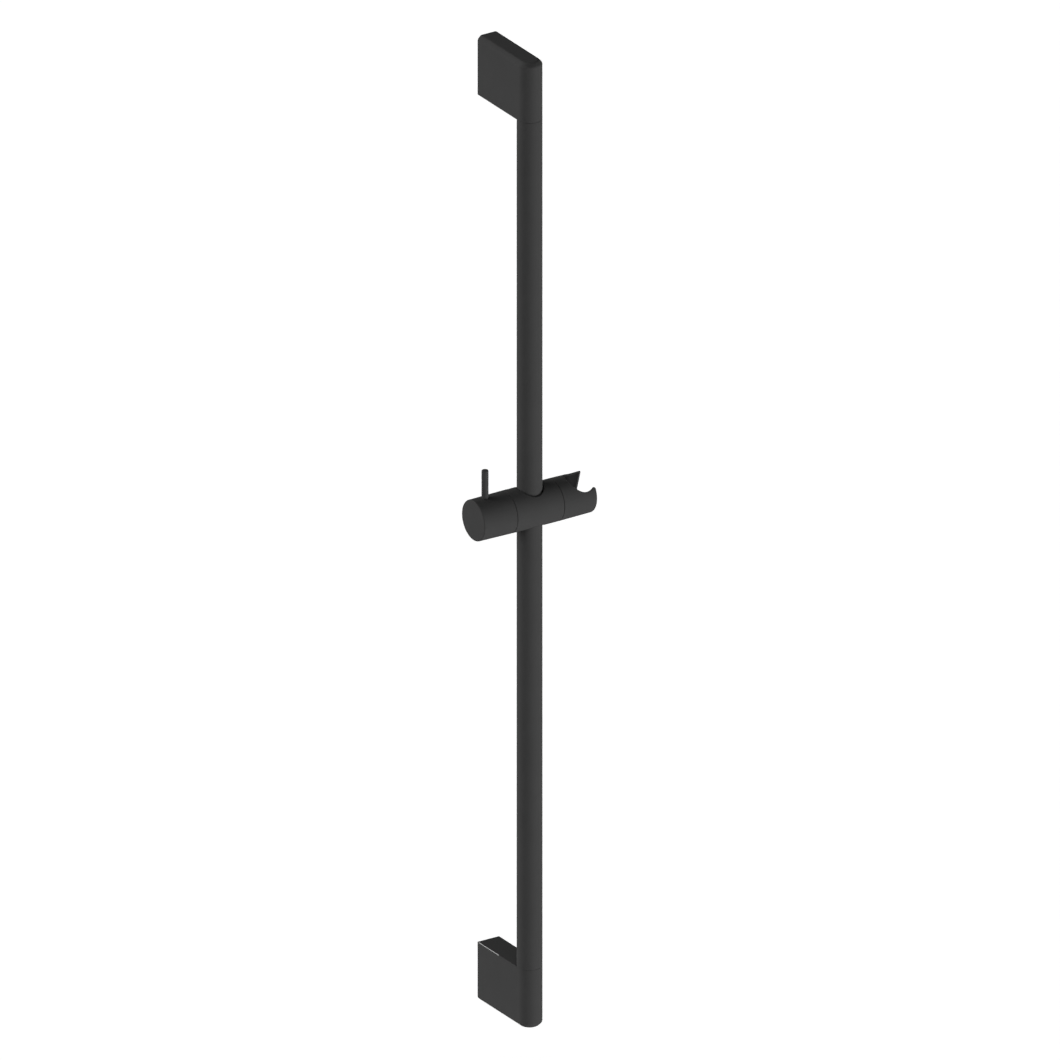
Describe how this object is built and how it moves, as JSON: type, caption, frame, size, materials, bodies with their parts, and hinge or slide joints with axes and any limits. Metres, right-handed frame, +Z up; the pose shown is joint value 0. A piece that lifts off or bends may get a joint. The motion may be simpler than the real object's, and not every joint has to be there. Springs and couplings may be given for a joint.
{
  "type": "shower slide rail",
  "caption": "Round wall rail on two flat-sided brackets, with a clamping slider that slides, swivels and locks by a lever knob and has a tilting conical holder for a hand shower.",
  "frame": {"origin": "on the wall's plane, midway between the two fixing screws", "axes": "+Z up along the rail, +Y into the wall, +X to the right as seen from the room"},
  "size_m": [0.114, 0.0837, 0.9],
  "materials": {
    "black_coat": "matt black coat",
    "zinc": "plain die casting",
    "steel": "plain",
    "brass": "turned",
    "black_plastic": "moulded",
    "white_plastic": "moulded",
    "seal_rubber": "plain"
  },
  "bodies": {
    "rail": {"rail_tube": "black_coat", "upper_bracket": "black_coat", "lower_bracket": "black_coat", "upper_wall_anchor": "zinc", "lower_wall_anchor": "zinc", "upper_anchor_grub_screw": "steel", "lower_anchor_grub_screw": "steel", "upper_spigot_ring": "seal_rubber", "lower_spigot_ring": "seal_rubber"},
    "carriage": {"upper_slide_bush": "black_plastic", "lower_slide_bush": "black_plastic"},
    "slider": {"slider_body": "black_coat", "spindle_washer": "white_plastic", "spindle_gland": "brass", "holder_pivot_screw": "steel", "holder_spring_washer": "steel", "holder_friction_washer": "black_plastic"},
    "knob": {"clamp_knob": "black_coat", "lever_pin": "black_coat", "clamp_spindle": "brass"},
    "brake": {"brake_pad": "black_plastic", "brake_nut": "brass"},
    "holder": {"handset_holder": "black_coat"}
  },
  "joints": [
    {"name": "slider_slide", "type": "slide", "parent": "rail", "child": "carriage", "axis": [0, 0, 1], "range_m": [-0.408, 0.342]},
    {"name": "slider_swivel", "type": "hinge", "parent": "carriage", "child": "slider", "pos_m": [0, -0.065, 0.0333], "axis": [0, 0, 1], "range_deg": [-60, 60]},
    {"name": "knob_turn", "type": "hinge", "parent": "slider", "child": "knob", "pos_m": [0, -0.065, 0.0333], "axis": [1, 0, 0], "range_deg": [0, 90]},
    {"name": "brake_slide", "type": "slide", "parent": "slider", "child": "brake", "axis": [1, 0, 0], "range_m": [-0.00076, 0]},
    {"name": "holder_tilt", "type": "hinge", "parent": "slider", "child": "holder", "pos_m": [0, -0.065, 0.0333], "axis": [1, 0, 0], "range_deg": [-45, 45]}
  ],
  "couplings": [
    {"joint": "brake_slide", "follows": "knob_turn", "m_per_rad": -0.00047746}
  ]
}
